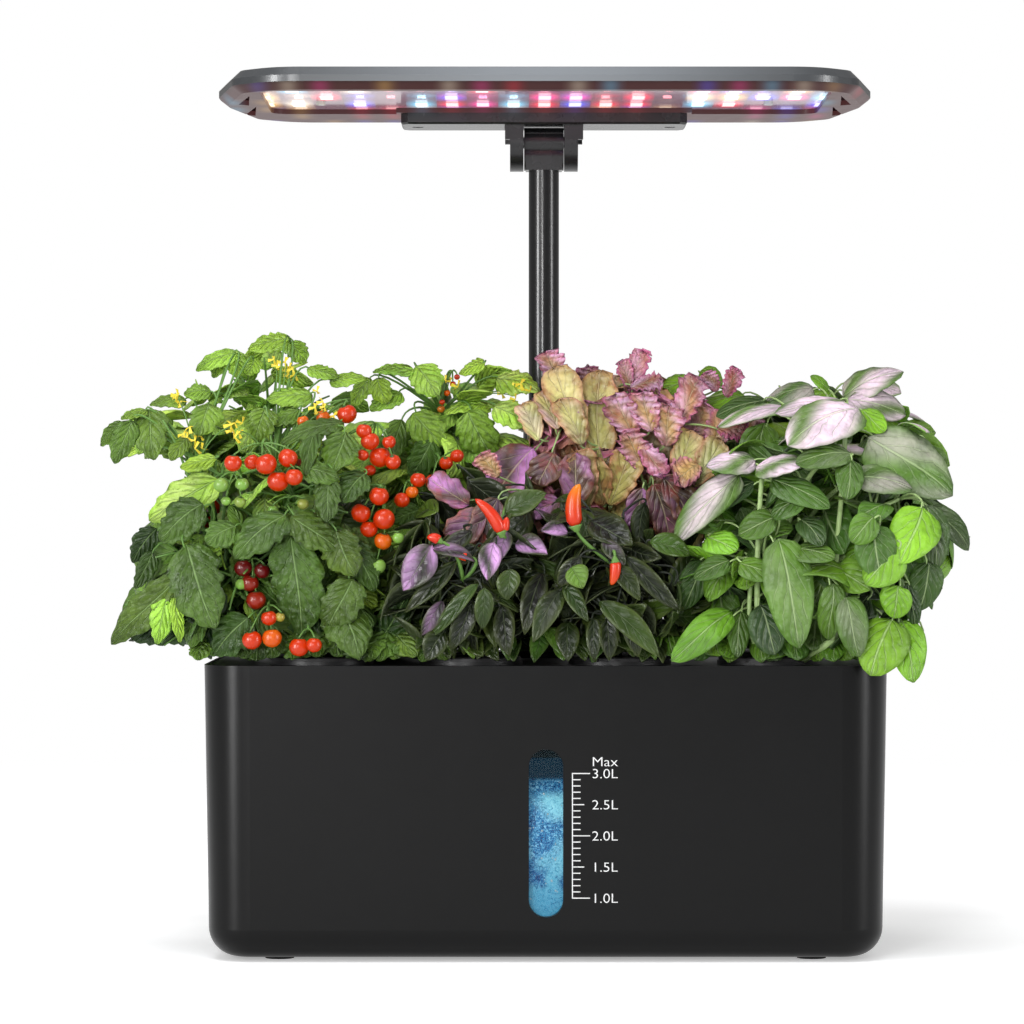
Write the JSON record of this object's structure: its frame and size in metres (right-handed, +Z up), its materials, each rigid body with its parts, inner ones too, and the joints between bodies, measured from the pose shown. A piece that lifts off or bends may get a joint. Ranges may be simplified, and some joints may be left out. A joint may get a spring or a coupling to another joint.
{
  "type": "countertop hydroponic garden",
  "caption": "Black water tank with a level window, a deck of planted net pots, and a grow lamp on a telescopic mast with a tilting head.",
  "frame": {"origin": "on the table below the middle of the tank", "axes": "+Z up, -Y the front with the level window, +X to the right seen from the front"},
  "size_m": [0.376, 0.184, 0.3667],
  "materials": {
    "shell_black": "satin",
    "deck_black": "satin",
    "clear_window": "gloss",
    "seal_rubber": "matte",
    "sponge": "matte",
    "tomato_leaf": "satin",
    "pepper_leaf": "satin",
    "lettuce_leaf": "satin",
    "basil_leaf": "satin",
    "mast_paint": "gloss",
    "basket_plastic": "matte",
    "circuit_board": "satin",
    "screw_steel": "satin",
    "light_pipe": "gloss",
    "filter_foam": "matte",
    "hose_clear": "satin",
    "button_plastic": "satin",
    "impeller_plastic": "satin",
    "lamp_black": "satin",
    "led_board_white": "matte",
    "led_chip": "gloss"
  },
  "bodies": {
    "tank": {"tank_shell": "shell_black", "level_window": "clear_window", "window_gasket": "seal_rubber", "feet": "seal_rubber"},
    "deck": {"grow_deck": "deck_black", "net_pot_1": "basket_plastic", "net_pot_2": "basket_plastic", "net_pot_3": "basket_plastic", "net_pot_4": "basket_plastic", "net_pot_5": "basket_plastic", "net_pot_6": "basket_plastic", "net_pot_7": "basket_plastic", "net_pot_8": "basket_plastic", "grow_sponges": "sponge", "tomato_front_left": "tomato_leaf", "tomato_rear_left": "tomato_leaf", "tomato_rear_middle": "tomato_leaf", "pepper_left": "pepper_leaf", "pepper_right": "pepper_leaf", "red_lettuce": "lettuce_leaf", "basil_front_right": "basil_leaf", "basil_rear_right": "basil_leaf", "mast_socket": "deck_black", "mast_lock_nut": "basket_plastic", "mast_lower_tube": "mast_paint", "mast_bush": "basket_plastic", "control_housing": "deck_black", "control_board": "circuit_board", "control_screws": "screw_steel", "status_light": "light_pipe", "dc_jack": "basket_plastic", "fill_lid_pin": "screw_steel", "pump_hanger": "basket_plastic", "pump_body": "basket_plastic", "pump_cover": "basket_plastic", "pump_filter": "filter_foam", "impeller_shaft": "screw_steel", "pump_hose": "hose_clear"},
    "flap": {"fill_lid": "deck_black"},
    "power_key": {"power_button": "button_plastic"},
    "light_key": {"light_button": "button_plastic"},
    "pump_key": {"pump_button": "button_plastic"},
    "impeller": {"pump_impeller": "impeller_plastic"},
    "mast": {"mast_upper_tube": "mast_paint", "mast_guide": "basket_plastic", "hinge_knuckle": "lamp_black"},
    "lamp": {"lamp_yoke": "lamp_black", "hinge_pin": "screw_steel", "hinge_nut": "screw_steel", "lamp_cover": "lamp_black", "lamp_bezel": "lamp_black", "lamp_lens": "clear_window", "lens_clips": "light_pipe", "led_board": "led_board_white", "led_chips": "led_chip", "driver_cover": "lamp_black", "driver_board": "circuit_board", "lamp_screws": "screw_steel"}
  },
  "joints": [
    {"name": "deck_lift", "type": "slide", "parent": "tank", "child": "deck", "axis": [0, 0, 1], "range_m": [0, 0.125]},
    {"name": "flap_hinge", "type": "hinge", "parent": "deck", "child": "flap", "pos_m": [0.08, 0.0726, 0.1234], "axis": [-1, 0, 0], "range_deg": [0, 105]},
    {"name": "power_press", "type": "slide", "parent": "deck", "child": "power_key", "axis": [0, 0, -1], "range_m": [0, 0.0012], "stiffness_N_per_m": 500, "springref_m": -0.0006},
    {"name": "light_press", "type": "slide", "parent": "deck", "child": "light_key", "axis": [0, 0, -1], "range_m": [0, 0.0012], "stiffness_N_per_m": 500, "springref_m": -0.0006},
    {"name": "pump_press", "type": "slide", "parent": "deck", "child": "pump_key", "axis": [0, 0, -1], "range_m": [0, 0.0012], "stiffness_N_per_m": 500, "springref_m": -0.0006},
    {"name": "impeller_spin", "type": "hinge", "parent": "deck", "child": "impeller", "pos_m": [-0.08, 0.05, 0.024], "axis": [0, 1, 0], "continuous": true},
    {"name": "mast_slide", "type": "slide", "parent": "deck", "child": "mast", "axis": [0, 0, 1], "range_m": [-0.085, 0]},
    {"name": "lamp_tilt", "type": "hinge", "parent": "mast", "child": "lamp", "pos_m": [0, 0.0335, 0.3456], "axis": [-1, 0, 0], "range_deg": [0, 75]}
  ]
}
